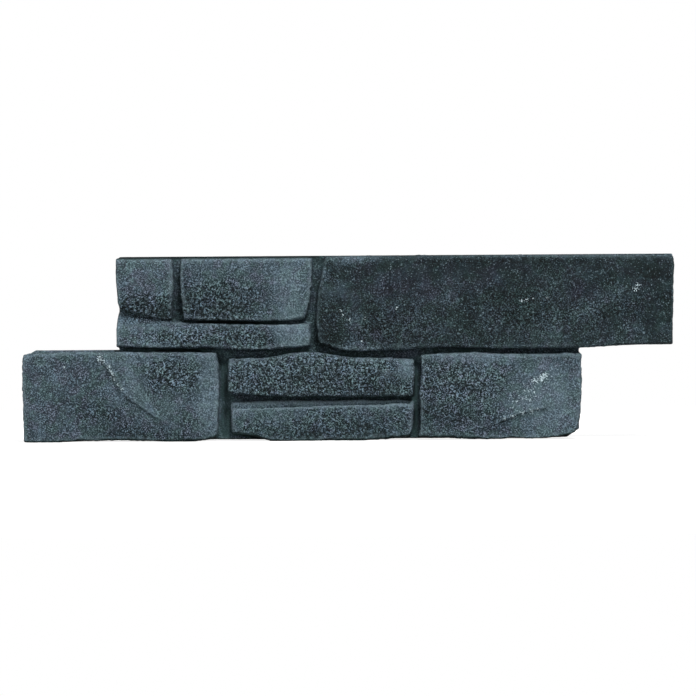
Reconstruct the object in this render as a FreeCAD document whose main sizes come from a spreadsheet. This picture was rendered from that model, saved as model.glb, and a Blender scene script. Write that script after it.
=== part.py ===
"""Interlocking ledge-stone cladding tile: one concrete casting with two staggered courses.

X runs along the wall and Z up. The back that is bedded on the wall is the plane Y = 0, and the
stones stand out towards -Y. The origin is the centre of the back, half way along and half way up.
All lengths are millimetres.
"""
import FreeCAD, Part
import math
import os
import Sketcher

doc = FreeCAD.newDocument("ledge_stone_tile")
sheet = doc.addObject("Spreadsheet::Sheet", "Sizes")

# Driving dimensions

DIMENSIONS = [
    ("course_length", 450, "length that each course covers on the wall"),
    ("course_height", 75, "height that each course covers on the wall"),
    ("stagger", 76, "how far the upper course is shifted to the right"),
    ("backing_thickness", 14, "backing behind the joints"),
    ("bottom_setback", 3, "backing kept up behind the stones' lower edges"),
    ("end_setback", 0.8, "backing kept in behind the stones' outer ends"),
    ("worn_end_setback", 2.6, "backing kept in behind the worn left end of the upper course"),
    ("corner_cut_run", 10, "cut-off corners of the backing, along"),
    ("corner_cut_rise", 6, "cut-off corners of the backing, up"),
    ("top_lip", 1.2, "backing that shows above the stones of a course"),
    ("bed_joint", 1.6, "joint floor under the stones of the upper course"),
    ("corner_stone_width", 46.3, "upper course, first stone"),
    ("square_stone_width", 107.2, "upper course, second stone"),
    ("strip_height", 20.3, "upper course, strip under the first two stones"),
    ("strip_joint", 0.7, "joint between the strip and the stones over it"),
    ("narrow_joint", 5.7, "upright joint between the first two stones"),
    ("dark_joint", 2.1, "upright joint before the long dark stone"),
    ("block_width", 158.5, "lower course, first stone"),
    ("block_joint", 6.5, "upright joint after the first stone"),
    ("ledge_width", 150.5, "lower course, the two long flat stones"),
    ("ledge_height", 33, "lower course, the lower long stone"),
    ("ledge_joint", 2, "level joint between the two long stones"),
    ("end_joint", 6, "upright joint before the last stone"),
    ("corner_proud", 11.5, "faces ahead of the backing: first upper stone"),
    ("square_proud", 13.5, "second upper stone"),
    ("strip_proud", 12, "strip"),
    ("dark_proud", 15.5, "long dark stone"),
    ("block_proud", 14.5, "first lower stone"),
    ("upper_ledge_proud", 16, "upper long stone"),
    ("lower_ledge_proud", 13, "lower long stone"),
    ("end_proud", 14.5, "last lower stone"),
    ("wall_draft", 0.5, "lean of the stones' walls, for the mould"),
    ("edge_run", 3.2, "width of the worn edge round each face"),
    ("edge_drop", 2.6, "depth of the worn edge round each face"),
    ("corner_round", 2.6, "rounding of the stones' upright corners"),
    ("cleft_block", 240, "block that a split plane is cut with"),
]
for row, (alias, value, meaning) in enumerate(DIMENSIONS, start=1):
    sheet.set("A%d" % row, meaning)
    sheet.set("B%d" % row, str(value))
    sheet.setAlias("B%d" % row, alias)
doc.recompute()


def size(name):
    """A driving dimension, in millimetres."""
    return float(sheet.get(name))


overall_length = size("course_length") + size("stagger")
overall_height = 2 * size("course_height")
lower_left = -overall_length / 2
lower_right = lower_left + size("course_length")
upper_left = lower_left + size("stagger")
upper_right = overall_length / 2
bottom = -overall_height / 2
middle = 0.0
top = overall_height / 2


# Backing: a Z-shaped slab, drawn as a sketch on the wall plane and padded forward

def backing_outline():
    """Corners of the backing, as the expressions of X and Z."""
    low_left = "-(Sizes.course_length + Sizes.stagger) / 2 + Sizes.end_setback"
    high_left = "(Sizes.stagger - Sizes.course_length) / 2 + Sizes.worn_end_setback"
    low_right = "(Sizes.course_length - Sizes.stagger) / 2 - Sizes.end_setback"
    high_right = "(Sizes.course_length + Sizes.stagger) / 2 - Sizes.end_setback"
    base = "-Sizes.course_height + Sizes.bottom_setback"
    return [
        (low_left, base),
        (low_right + " - Sizes.corner_cut_run", base),
        (low_right, base + " + Sizes.corner_cut_rise"),
        (low_right, "Sizes.bed_joint"),
        (high_right, "Sizes.bed_joint"),
        (high_right, "Sizes.course_height"),
        (high_left, "Sizes.course_height"),
        (high_left, "0"),
        (low_left + " + Sizes.corner_cut_run", "0"),
        (low_left, "-Sizes.corner_cut_rise"),
    ]


def make_backing():
    """The slab behind the joints, as a padded sketch."""
    body = doc.addObject("PartDesign::Body", "Backing")
    sketch = body.newObject("Sketcher::SketchObject", "BackingOutline")
    plane = next(o for o in body.Origin.OriginFeatures if o.Role == "XZ_Plane")
    sketch.AttachmentSupport = [(plane, "")]
    sketch.MapMode = "FlatFace"
    corners = backing_outline()
    count = len(corners)
    run, rise = size("corner_cut_run"), size("corner_cut_rise")
    rough = [(lower_left, bottom), (lower_right - run, bottom), (lower_right, bottom + rise),
             (lower_right, middle), (upper_right, middle), (upper_right, top), (upper_left, top),
             (upper_left, middle), (lower_left + run, middle), (lower_left, middle - rise)]
    for k in range(count):
        start, end = rough[k], rough[(k + 1) % count]
        sketch.addGeometry(Part.LineSegment(FreeCAD.Vector(*start, 0), FreeCAD.Vector(*end, 0)), False)
    for k in range(count):
        sketch.addConstraint(Sketcher.Constraint("Coincident", k, 2, (k + 1) % count, 1))
    for k, (across, up) in enumerate(corners):
        for kind, distance, word, expression in (("DistanceX", rough[k][0], "across", across),
                                                 ("DistanceY", rough[k][1], "up", up)):
            index = sketch.addConstraint(Sketcher.Constraint(kind, -1, 1, k, 1, distance))
            sketch.renameConstraint(index, "%s_%d" % (word, k))
            sketch.setExpression("Constraints.%s_%d" % (word, k), expression)
    pad = body.newObject("PartDesign::Pad", "BackingPad")
    pad.Profile = sketch
    pad.setExpression("Length", "Sizes.backing_thickness")
    body.Tip = pad
    doc.recompute()
    return body


# Stones: a gently curved face, then bevels round its worn edge, walls down to the wall plane and a
# flat cap on that plane, all running between rings of control points that follow one outline

SIDES = ("left", "right", "bottom", "top")
DEGREE = 3
FACE_RING = 3


def along(values, fraction):
    """Value at a fraction along a side, from a few evenly spaced ones."""
    place = fraction * (len(values) - 1)
    first = min(int(place), len(values) - 2)
    share = place - first
    return values[first] * (1 - share) + values[first + 1] * share


def inset(stone, side, fraction, ring):
    """Distance in from the outline at the foot, the wall's top, the bevels' joint or the face."""
    draft = size("wall_draft")
    run = size("edge_run") * along(stone["wear"][side], fraction)
    return [0.0, draft, draft + 0.3 * run, draft + run][ring]


def plan_point(stone, cell, s, t, ring):
    """X and Z at fractions s across and t up one ring, with its corners drawn in."""
    left, low, right, high = cell
    west = left + along(stone["left"], t) + inset(stone, "left", t, ring)
    east = right - along(stone["right"], t) - inset(stone, "right", t, ring)
    south = low + along(stone["bottom"], s) + inset(stone, "bottom", s, ring)
    north = high - along(stone["top"], s) - inset(stone, "top", s, ring)
    from_west = (east - west) * s
    from_south = (north - south) * t
    from_side = min(from_west, east - west - from_west)
    from_base = min(from_south, north - south - from_south)
    corner = ("bottom" if t < 0.5 else "top") + ("_left" if s < 0.5 else "_right")
    radius = stone["radii"].get(corner, size("corner_round"))
    p = 1 - from_side / radius
    q = 1 - from_base / radius
    if p > 0 and q > 0:
        softness = 0.7
        scale = 1 - softness + softness * max(p, q) / math.hypot(p, q)
        from_side = radius * (1 - p * scale)
        from_base = radius * (1 - q * scale)
    x = west + from_side if s < 0.5 else east - from_side
    z = south + from_base if t < 0.5 else north - from_base
    return x, z


def face_level(stone, cell, x, z):
    """How far the face stands ahead of the backing."""
    left, low, right, high = cell
    u = (x - left) / (right - left)
    v = (z - low) / (high - low)
    low_left, low_right, high_left, high_right = stone["corners"]
    level = size(stone["proud"])
    level += (1 - v) * ((1 - u) * low_left + u * low_right) + v * ((1 - u) * high_left + u * high_right)
    for at_u, at_v, reach_u, reach_v, height in stone["swells"]:
        level += height * math.exp(-((u - at_u) / reach_u) ** 2 - ((v - at_v) / reach_v) ** 2)
    return level


def ring_point(stone, cell, s, t, ring):
    """One control point."""
    x, z = plan_point(stone, cell, s, t, ring)
    level = size("backing_thickness") + face_level(stone, cell, x, z)
    depth = [0.0, level - size("edge_drop"), level - 0.25 * size("edge_drop"), level][ring]
    return FreeCAD.Vector(x, -depth, z)


def fractions(length, inner):
    """Places of the control points along a side: its ends, one near each, and evenly spaced ones."""
    near = 0.6 * size("corner_round") / length
    return [0.0, near] + [k / (inner + 1) for k in range(1, inner + 1)] + [1 - near, 1.0]


def clamped(count, degree):
    """Multiplicities and knots of an evenly spaced spline that ends on its end points."""
    knots = list(range(count - degree + 1))
    return [degree + 1] + [1] * (len(knots) - 2) + [degree + 1], knots


def spline_face(net, degree_across, degree_up):
    """A surface over a net of control points."""
    counts_across, knots_across = clamped(len(net), degree_across)
    counts_up, knots_up = clamped(len(net[0]), degree_up)
    surface = Part.BSplineSurface()
    surface.buildFromPolesMultsKnots(net, counts_across, counts_up, knots_across, knots_up,
                                     False, False, degree_across, degree_up)
    return surface.toShape()


def make_stone(name, stone, cell):
    """One stone as a closed solid that reaches back to the wall plane."""
    left, low, right, high = cell
    across = fractions(right - left, stone["columns"])
    up = fractions(high - low, stone["rows"])
    net = [[ring_point(stone, cell, s, t, FACE_RING) for t in up] for s in across]
    faces = [spline_face(net, DEGREE, DEGREE)]
    borders = {"left": [(0.0, t) for t in up], "right": [(1.0, t) for t in up],
               "bottom": [(s, 0.0) for s in across], "top": [(s, 1.0) for s in across]}
    feet = []
    for side in SIDES:
        rails = [[ring_point(stone, cell, s, t, ring) for s, t in borders[side]]
                 for ring in range(FACE_RING + 1)]
        for outer, inner in zip(rails, rails[1:]):
            faces.append(spline_face([list(pair) for pair in zip(outer, inner)], DEGREE, 1))
        counts, knots = clamped(len(rails[0]), DEGREE)
        foot = Part.BSplineCurve()
        foot.buildFromPolesMultsKnots(rails[0], counts, knots, False, DEGREE)
        feet.append(foot.toShape())
    faces.append(Part.Face(Part.Wire(Part.__sortEdges__(feet))))
    shell = Part.makeShell(faces)
    shell.sewShape()
    solid = Part.Solid(shell)
    if solid.Volume < 0:
        solid.reverse()
    feature = doc.addObject("Part::Feature", name)
    feature.Label = stone["label"]
    feature.Shape = solid
    return feature


# Each stone has, in millimetres and from evenly spaced places along each side, how far its outline
# lies in from its own rectangle on the tile. "wear" scales the worn edge along each side, "corners"
# raises the face at its lower left, lower right, upper left and upper right corner, and each swell
# raises the face about a point: its fractions across and up, its reach across and up, and its height.

STONES = {
    "CornerStone": {
        "label": "upper course, first stone",
        "proud": "corner_proud",
        "columns": 4,
        "rows": 4,
        "left": [2.3, 0.6, -0.2, 0.0],
        "right": [0.4, 1.2, 0.2, 0.0, 0.0],
        "bottom": [9.5, 6.7, 3.4, 2.2, 1.6],
        "top": [-0.4, 0.0, 0.3],
        "wear": {
            "left": [0.4, 0.7, 0.4],
            "right": [0.6, 0.8, 0.6],
            "bottom": [0.5, 0.3, 0.4],
            "top": [0.7, 0.9, 0.7],
        },
        "radii": {},
        "corners": (-1.0, 0.0, 0.5, 0.5),
        "swells": [(0.6, 0.6, 0.4, 0.3, 1.2)],
    },
    "SquareStone": {
        "label": "upper course, second stone",
        "proud": "square_proud",
        "columns": 6,
        "rows": 4,
        "left": [2.4, 1.2, 0.0, -0.2, 0.0],
        "right": [5.8, 2.9, 2.0, 0.3, 0.0, 0.0],
        "bottom": [1.2, 1.0, 0.4, -0.2, -0.6, 0.6],
        "top": [0.0, 0.2, 0.0],
        "wear": {
            "left": [0.5, 0.4, 0.6],
            "right": [1.4, 0.8, 0.9],
            "bottom": [0.4, 0.3, 0.3, 0.4],
            "top": [0.9, 1.1, 0.8, 1.1],
        },
        "radii": {},
        "corners": (-1.5, 0.5, 0.0, -0.5),
        "swells": [(0.35, 0.3, 0.25, 0.25, -1.5), (0.8, 0.55, 0.15, 0.4, 0.8), (0.4, 0.8, 0.3, 0.2, 0.7)],
    },
    "Strip": {
        "label": "upper course, strip",
        "proud": "strip_proud",
        "columns": 9,
        "rows": 3,
        "left": [0.0, 0.0, 0.3, 2.3],
        "right": [0.6, 0.0, 0.2],
        "bottom": [0.5, 0.1, 0.6, 0.3, -1.6, -1.0, 0.9],
        "top": [-11.0, -4.0, -1.2, 0.4, 1.2, 2.0, 0.4],
        "wear": {
            "left": [0.4, 0.5],
            "right": [1.1, 0.9],
            "bottom": [0.4, 0.3, 0.5, 0.4],
            "top": [1.6, 1.0, 0.6, 0.5, 0.6, 0.6],
        },
        "radii": {},
        "corners": (0.5, 0.5, -3.5, -0.5),
        "swells": [(0.45, 0.4, 0.08, 0.5, 1.4), (0.25, 0.5, 0.1, 0.6, -0.8), (0.1, 1.3, 0.2, 0.35, -3.0)],
    },
    "DarkStone": {
        "label": "upper course, long dark stone",
        "proud": "dark_proud",
        "columns": 14,
        "rows": 4,
        "left": [2.0, 0.0, 0.2, 1.4, 4.4, 7.8],
        "right": [1.9, 1.3, 0.8, 0.3, -0.4],
        "bottom": [3.6, -2.5, 0.3, -0.7, 0.8, 0.0, -0.7, -0.9, -1.6, -1.5, -0.2, 0.7, 0.5],
        "top": [0.3, 0.0, 0.0, 0.0, 0.6, 1.2],
        "wear": {
            "left": [0.8, 1.0, 0.6],
            "right": [0.3, 0.3, 0.3],
            "bottom": [0.5, 0.8, 0.3, 0.5, 0.7, 0.4],
            "top": [0.7, 1.3, 0.8, 1.7, 0.8, 1.1, 0.7],
        },
        "radii": {},
        "corners": (-1.5, -2.0, -1.0, -2.5),
        "swells": [
            (0.18, 0.5, 0.1, 0.45, 2.0),
            (0.36, 0.25, 0.09, 0.3, 1.2),
            (0.5, 0.7, 0.13, 0.3, -1.6),
            (0.66, 0.3, 0.1, 0.35, 1.8),
            (0.8, 0.75, 0.07, 0.25, 1.2),
            (0.9, 0.35, 0.07, 0.3, -1.0),
        ],
    },
    "Block": {
        "label": "lower course, first stone",
        "proud": "block_proud",
        "columns": 8,
        "rows": 4,
        "left": [1.4, 1.5, 0.9, 0.3, 0.0],
        "right": [1.6, 0.4, 0.0, 0.2, 0.5],
        "bottom": [0.8, 1.1, 2.3, 3.0, 1.8, 0.4, 3.0],
        "top": [0.4, 0.0, 0.0, 0.0, 0.2],
        "wear": {
            "left": [0.3, 0.6, 0.4],
            "right": [0.6, 0.5, 0.7],
            "bottom": [0.4, 0.3, 0.5, 0.6, 0.4],
            "top": [1.3, 0.9, 0.7, 1.2, 0.8],
        },
        "radii": {"top_left": 8.0},
        "corners": (-1.5, 0.0, -1.0, 0.5),
        "swells": [
            (0.6, 0.65, 0.2, 0.3, 1.4),
            (0.85, 0.35, 0.12, 0.4, 0.9),
            (0.2, 0.4, 0.15, 0.35, 0.7),
            (0.9, 0.02, 0.13, 0.22, -1.5),
        ],
    },
    "UpperLedge": {
        "label": "lower course, upper long stone",
        "proud": "upper_ledge_proud",
        "columns": 11,
        "rows": 3,
        "left": [0.3, -0.3, 0.2, 1.4],
        "right": [-0.2, -0.6, -1.6, -1.0],
        "bottom": [4.5, 1.8, 0.7, 1.1, 0.1, 0.5, 0.5],
        "top": [6.0, 5.9, 5.9, 1.6, 0.3, 3.0, 6.0, 6.2, 5.5, 7.3],
        "wear": {
            "left": [0.6, 0.5],
            "right": [1.2, 0.9],
            "bottom": [0.4, 0.6, 0.3, 0.5, 0.3],
            "top": [1.2, 0.9, 1.4, 1.8, 1.3, 0.9, 1.3],
        },
        "radii": {},
        "corners": (-1.0, -1.0, -2.0, -2.0),
        "swells": [
            (0.5, 0.45, 1.2, 0.35, 1.6),
            (0.46, 0.75, 0.12, 0.3, 1.6),
            (0.22, 0.4, 0.08, 0.4, -1.0),
            (0.82, 0.4, 0.1, 0.4, 0.9),
        ],
    },
    "LowerLedge": {
        "label": "lower course, lower long stone",
        "proud": "lower_ledge_proud",
        "columns": 11,
        "rows": 3,
        "left": [4.2, 3.6, 3.8, 3.2],
        "right": [2.5, 0.8, 0.2],
        "bottom": [6.5, 5.8, 0.9, 0.7, 1.4, 2.0, 1.2, 1.9, 2.6, 4.0],
        "top": [0.3, 0.0, 0.2, 0.0, 0.1],
        "wear": {
            "left": [0.6, 0.7],
            "right": [0.7, 0.6],
            "bottom": [0.6, 0.3, 0.5, 0.6, 0.4],
            "top": [1.2, 1.9, 1.7, 1.5, 1.3, 1.0],
        },
        "radii": {},
        "corners": (-1.0, -1.0, -3.5, -2.5),
        "swells": [(0.3, 0.35, 0.13, 0.35, 1.6), (0.7, 0.5, 0.15, 0.35, 1.0), (0.5, 0.5, 0.08, 0.4, -0.9)],
    },
    "EndStone": {
        "label": "lower course, last stone",
        "proud": "end_proud",
        "columns": 7,
        "rows": 4,
        "left": [-3.6, -2.4, -2.2, -1.5, 0.6, -0.6],
        "right": [2.6, 0.4, -1.2, -0.6, -0.9, -1.5],
        "bottom": [3.7, 2.9, 1.9, 2.8, 1.6, 4.5],
        "top": [3.5, 1.8, 2.3, 3.9, 3.3, 2.8],
        "wear": {
            "left": [0.5, 0.7, 0.6],
            "right": [0.8, 0.5, 0.7],
            "bottom": [0.4, 0.3, 0.5, 0.7],
            "top": [1.0, 0.8, 1.4, 0.9, 1.1],
        },
        "radii": {"bottom_right": 8.0},
        "corners": (-1.0, -0.5, 0.0, -1.5),
        "swells": [(0.35, 0.65, 0.2, 0.3, 1.5), (0.8, 0.55, 0.15, 0.3, 0.7), (1.0, 0.46, 0.13, 0.2, -1.0)],
    },
}

# Splits: a flat piece split off a face along one or two lines that cross the stone. Each has its
# lines, by their two ends as fractions of the stone, how deep it starts, and the degrees it falls

CLEFTS = [
    ("CornerStone", [((1.0, 0.30), (0.0, 0.34))], 0.0, 13.0),
    ("DarkStone", [((-0.01, 0.50), (0.10, 1.02))], 0.0, 9.0),
    ("DarkStone", [((0.13, -0.05), (-0.02, 0.58))], 0.0, 7.0),
    ("Block", [((0.67, 0.0), (0.39, 1.0)), ((0.87, 0.0), (0.0, 1.29))], 1.8, 0.0),
    ("LowerLedge", [((0.0, 0.80), (1.0, 0.90))], 2.6, 4.0),
    ("EndStone", [((1.0, 0.456), (0.11, 0.0))], 0.8, 0.0),
]


def on_face(name, place, depth):
    """A point of the wall plane's own X and Z, sunk to a depth under the face of a stone."""
    left, low, right, high = cells[name]
    x = left + place[0] * (right - left)
    z = low + place[1] * (high - low)
    level = size("backing_thickness") + face_level(STONES[name], cells[name], x, z)
    return FreeCAD.Vector(x, depth - level, z)


def make_cleft(name, index, start, end, sunk, fall):
    """The block that takes away what lies on the left of a line, down to a level at that line."""
    first, second = on_face(name, start, 0), on_face(name, end, 0)
    first.y = second.y = sunk
    line = (second - first).normalize()
    angle = math.radians(fall)
    floor = FreeCAD.Vector(-line.z, 0, line.x) * math.cos(angle) + FreeCAD.Vector(0, math.sin(angle), 0)
    corner = (first + second) * 0.5 - line * (0.5 * size("cleft_block"))
    block = doc.addObject("Part::Box", "%sBlock%d" % (name, index))
    for edge in ("Length", "Width", "Height"):
        block.setExpression(edge, "Sizes.cleft_block")
    block.Placement = FreeCAD.Placement(corner, FreeCAD.Rotation(line, floor, line.cross(floor), "XYZ"))
    return block


def split(name, index, whole_stone):
    """One stone with one of its splits taken off."""
    lines, depth, fall = CLEFTS[index][1:]
    start, end = lines[0]
    middle_place = ((start[0] + end[0]) / 2, (start[1] + end[1]) / 2)
    sunk = on_face(name, middle_place, depth).y
    for k, (start, end) in enumerate(lines):
        cut = doc.addObject("Part::Cut", "%sSplit%d" % (name, 10 * index + k))
        cut.Base = whole_stone
        cut.Tool = make_cleft(name, 10 * index + k, start, end, sunk, fall)
        whole_stone = cut
    return whole_stone


def stone_cells():
    """Each stone's place on the tile, as its left, bottom, right and top."""
    lower_top = middle - size("top_lip")
    upper_top = top - size("top_lip")
    upper_bottom = middle + size("bed_joint")
    ledge_left = lower_left + size("block_width") + size("block_joint")
    ledge_right = ledge_left + size("ledge_width")
    ledge_top = bottom + size("ledge_height")
    square_left = upper_left + size("corner_stone_width") + size("narrow_joint")
    square_right = square_left + size("square_stone_width")
    strip_top = upper_bottom + size("strip_height")
    over_strip = strip_top + size("strip_joint")
    return {
        "CornerStone": (upper_left, over_strip, upper_left + size("corner_stone_width"), upper_top),
        "SquareStone": (square_left, over_strip, square_right, upper_top),
        "Strip": (upper_left, upper_bottom, square_right - size("strip_joint"), strip_top),
        "DarkStone": (square_right + size("dark_joint"), upper_bottom - 0.6, upper_right, upper_top + 0.9),
        "Block": (lower_left, bottom, lower_left + size("block_width"), lower_top),
        "UpperLedge": (ledge_left, ledge_top + size("ledge_joint"), ledge_right, lower_top),
        "LowerLedge": (ledge_left, bottom, ledge_right, ledge_top),
        "EndStone": (ledge_right + size("end_joint"), bottom, lower_right, lower_top),
    }


backing = make_backing()
cells = stone_cells()
stones = {name: make_stone(name, STONES[name], cells[name]) for name in STONES}
whole = dict(stones)
for index, cleft in enumerate(CLEFTS):
    name = cleft[0]
    whole[name] = split(name, index, whole[name])

tile = doc.addObject("Part::MultiFuse", "Tile")
tile.Shapes = [backing] + list(whole.values())
tile.Refine = True
tile.Label = "stone_tile"
doc.recompute()

for item in doc.Objects:
    if "Invalid" in item.State or "Error" in item.State:
        raise RuntimeError("%s did not build" % item.Name)
for item in [backing] + list(whole.values()) + [tile]:
    if item.Shape.isNull() or not item.Shape.isValid():
        raise RuntimeError("%s has no valid shape" % item.Name)

os.makedirs("parts", exist_ok=True)
tile.Shape.exportStep("parts/%s.step" % tile.Label)
for name in stones:
    print("%s: %.0f mm3, %.0f split off" % (name, whole[name].Shape.Volume,
                                            stones[name].Shape.Volume - whole[name].Shape.Volume))
box = tile.Shape.BoundBox
print("stone_tile: %d solid, %.0f mm3" % (len(tile.Shape.Solids), tile.Shape.Volume))
print("X %.2f to %.2f, Y %.2f to %.2f, Z %.2f to %.2f"
      % (box.XMin, box.XMax, box.YMin, box.YMax, box.ZMin, box.ZMax))
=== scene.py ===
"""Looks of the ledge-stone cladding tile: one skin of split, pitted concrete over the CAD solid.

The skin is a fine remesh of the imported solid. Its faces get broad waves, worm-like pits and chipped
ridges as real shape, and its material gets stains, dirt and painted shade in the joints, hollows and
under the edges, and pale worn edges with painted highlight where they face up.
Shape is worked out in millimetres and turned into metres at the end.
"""
import math

import bmesh
import bpy
import numpy as np
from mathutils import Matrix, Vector

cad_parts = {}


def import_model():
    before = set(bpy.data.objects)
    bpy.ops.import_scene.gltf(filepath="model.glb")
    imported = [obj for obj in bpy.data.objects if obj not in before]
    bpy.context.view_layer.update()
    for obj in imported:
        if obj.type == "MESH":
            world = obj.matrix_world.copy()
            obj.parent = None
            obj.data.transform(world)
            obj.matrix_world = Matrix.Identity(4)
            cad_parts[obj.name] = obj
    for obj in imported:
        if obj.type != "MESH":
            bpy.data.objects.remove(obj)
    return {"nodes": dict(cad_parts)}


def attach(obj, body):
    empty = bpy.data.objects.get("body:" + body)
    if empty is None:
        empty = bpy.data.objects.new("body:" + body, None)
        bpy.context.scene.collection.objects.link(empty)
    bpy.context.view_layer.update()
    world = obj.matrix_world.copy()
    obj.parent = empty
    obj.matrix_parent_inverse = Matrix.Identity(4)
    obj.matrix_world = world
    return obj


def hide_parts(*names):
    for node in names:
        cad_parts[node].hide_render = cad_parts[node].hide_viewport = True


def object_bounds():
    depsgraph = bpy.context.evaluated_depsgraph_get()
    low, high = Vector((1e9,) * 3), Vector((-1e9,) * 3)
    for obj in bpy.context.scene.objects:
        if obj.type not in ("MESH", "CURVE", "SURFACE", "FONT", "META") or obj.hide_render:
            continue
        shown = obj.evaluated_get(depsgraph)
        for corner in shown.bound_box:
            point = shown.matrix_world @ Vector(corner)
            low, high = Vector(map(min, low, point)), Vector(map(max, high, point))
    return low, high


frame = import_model()
cad_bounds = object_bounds()

MM = 0.001
NODE = "stone_tile"
SEED = 7

# Mesh of the skin, with lengths in millimetres
VOXEL = 0.76
BACK_LAYER = 0.4
BOX_INSET = 0.05
SMOOTHING_ROUNDS = 1
BLURRING_ROUNDS = 30
SMOOTHING_SHARE = 0.5
TRIANGLES_AFTER_THINNING = 193000

# Levels in millimetres ahead of the back plane, where something begins and where it is full
RELIEF_LEVELS = (0.3, 2.5)
COLOUR_LEVELS = (1, 5)
MOVING_LEVELS = (2, 8)
CAVITY_LEVELS = (6, 12)
STONE_LEVELS = (15.5, 22)
CREST_LEVELS = (16, 22)
UNDARKENED_FACE_LEVELS = (17, 21)
CHIPPED_LEVELS = (17, 24)

# Relief: the size of the bumps and how far they reach, in millimetres
BROAD_SIZE, BROAD_HEIGHT = 24, 0.55
SMALL_SIZE, SMALL_HEIGHT = 9, 0.38
CREST_SIZE, CREST_HEIGHT = 12, 0.18
WORM_SIZE, WORM_HEIGHT = 2.3, 0.32
PIT_SIZE, PIT_DEPTH = 2.1, 0.5
GRIT_SIZE, GRIT_HEIGHT = 2.0, 0.16
JOINT_SIZE, JOINT_HEIGHT = 8, 0.2
JOINT_GRIT_HEIGHT = 0.1
EDGE_CHIP_SIZE, EDGE_CHIP_DEPTH = 9, 0.9
LONG_SWAY_SIZE, LONG_SWAY = 14, 0.5
SHORT_SWAY_SIZE, SHORT_SWAY = 4, 0.4
FRAY_SIZE, FRAY = 11, 0.9
MOTTLE_SIZE = 16
PIT_GROUP_SIZE = 7

# Values of the noises between which worms, pits, groups of pits and edge chips come in
WORM_RANGE = (0.35, 0.95)
PIT_RANGE = (0.2, 0.6)
PIT_GROUP_RANGE = (-0.9, -0.1)
EDGE_CHIP_RANGE = (0.1, 0.4)

# Roughness: its least, the sum at which patches stop adding to it, the weights of the smooth
# patches and the mottle, and its share on side walls
LEAST_ROUGHNESS = 0.22
MOST_PATCHES = 1.2
SMOOTH_WEIGHT = 0.9
MOTTLE_WEIGHT = 0.35
SIDE_SHARE = 0.35

# How much of a pit a worm fills, and the grit on a smooth face
WORM_FILL = 0.5
SMOOTH_GRIT = 0.3

# Factors of the hash behind the noise
CELL_FACTORS = (73856093, 19349663, 83492791)
SEED_FACTOR = 2654435761
MIXING_STEPS = ((15, 0x2C1B3C6D), (12, 0x297A2D39))
LAST_SHIFT = 15
LOW_32_BITS = 0xFFFFFFFF


# Noise, worked out for all points at once

def hashed(corners, seed):
    """A 32-bit number for each corner of a whole-numbered grid."""
    mixed = seed * SEED_FACTOR
    for k, factor in enumerate(CELL_FACTORS):
        mixed = mixed ^ (corners[..., k].astype(np.int64) * factor)
    mixed &= LOW_32_BITS
    for shift, factor in MIXING_STEPS:
        mixed = ((mixed ^ (mixed >> shift)) * factor) & LOW_32_BITS
    return mixed ^ (mixed >> LAST_SHIFT)


def waves(points, size, seed):
    """Gradient noise of about -1 to 1, with bumps of a size in millimetres.

    The lower 16 bits of a corner's number turn its gradient, and the upper 16 bits raise it.
    """
    gain = 1.6
    scaled = points / size
    base = np.floor(scaled)
    local = scaled - base
    fade = local ** 3 * (local * (local * 6 - 15) + 10)
    total = np.zeros(len(points))
    for corner in range(8):
        step = np.array([corner & 1, corner >> 1 & 1, corner >> 2 & 1])
        number = hashed(base + step, seed)
        turn = (number & 0xFFFF) * (2 * math.pi / 65536)
        rise = ((number >> 16) & 0xFFFF) / 32767.5 - 1
        flat = np.sqrt(np.maximum(0, 1 - rise * rise))
        away = local - step
        slope = flat * (np.cos(turn) * away[:, 0] + np.sin(turn) * away[:, 1]) + rise * away[:, 2]
        share = np.prod(np.where(step == 1, fade, 1 - fade), axis=1)
        total += share * slope
    return total * gain


def layered(points, size, seed, layers=3, fall=0.5):
    """Noise of several sizes, each half of the last."""
    total = np.zeros(len(points))
    strength, sum_of_strengths = 1.0, 0.0
    for k in range(layers):
        total += strength * waves(points, size / 2 ** k, seed + 31 * k)
        sum_of_strengths += strength
        strength *= fall
    return total / sum_of_strengths


def veins(points, size, seed):
    """1 along thin winding lines and 0 away from them."""
    bend = 0.35
    thinness = 3.2
    bends = np.stack([waves(points, size, seed + k) for k in (101, 102, 103)], axis=1)
    bent = points + bend * size * bends
    return np.clip(1 - np.abs(waves(bent, size, seed)) * thinness, 0, 1)


def cells(points, size, seed):
    """Distance to the nearest of the scattered spots, in spot spacings.

    Ten bits of a cell's number place its spot in each direction.
    """
    scaled = points / size
    base = np.floor(scaled)
    nearest = np.full(len(points), 9.0)
    for dx in (-1, 0, 1):
        for dy in (-1, 0, 1):
            for dz in (-1, 0, 1):
                cell = base + np.array([dx, dy, dz])
                number = hashed(cell, seed)
                inside = [number & 1023, number >> 10 & 1023, number >> 20 & 1023]
                spot = cell + np.stack(inside, axis=1) / 1023.0
                nearest = np.minimum(nearest, np.linalg.norm(scaled - spot, axis=1))
    return nearest


def ramp(value, low, high):
    """0 below low, 1 above high, and a soft rise between them."""
    way = np.clip((value - low) / (high - low), 0, 1)
    return way * way * (3 - 2 * way)


def patch(points, x, z, reach_x, reach_z, tilt=0.0):
    """1 in the middle of a soft oval on the front and 0 outside it. Tilt is in degrees."""
    across, up = points[:, 0] - x, points[:, 2] - z
    cos, sin = math.cos(math.radians(tilt)), math.sin(math.radians(tilt))
    along, aside = across * cos + up * sin, up * cos - across * sin
    return np.exp(-(along / reach_x) ** 2 - (aside / reach_z) ** 2)


def strip(points, x, z, reach_x, reach_z):
    """1 along a straight band on the front and 0 outside it, level along its longer side."""
    across, up = np.abs(points[:, 0] - x) / reach_x, np.abs(points[:, 2] - z) / reach_z
    along, aside = (across, up) if reach_x > reach_z else (up, across)
    return np.exp(-along ** 6 - aside ** 2)


# Zones of the front, in millimetres across and up from the tile's centre

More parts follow.
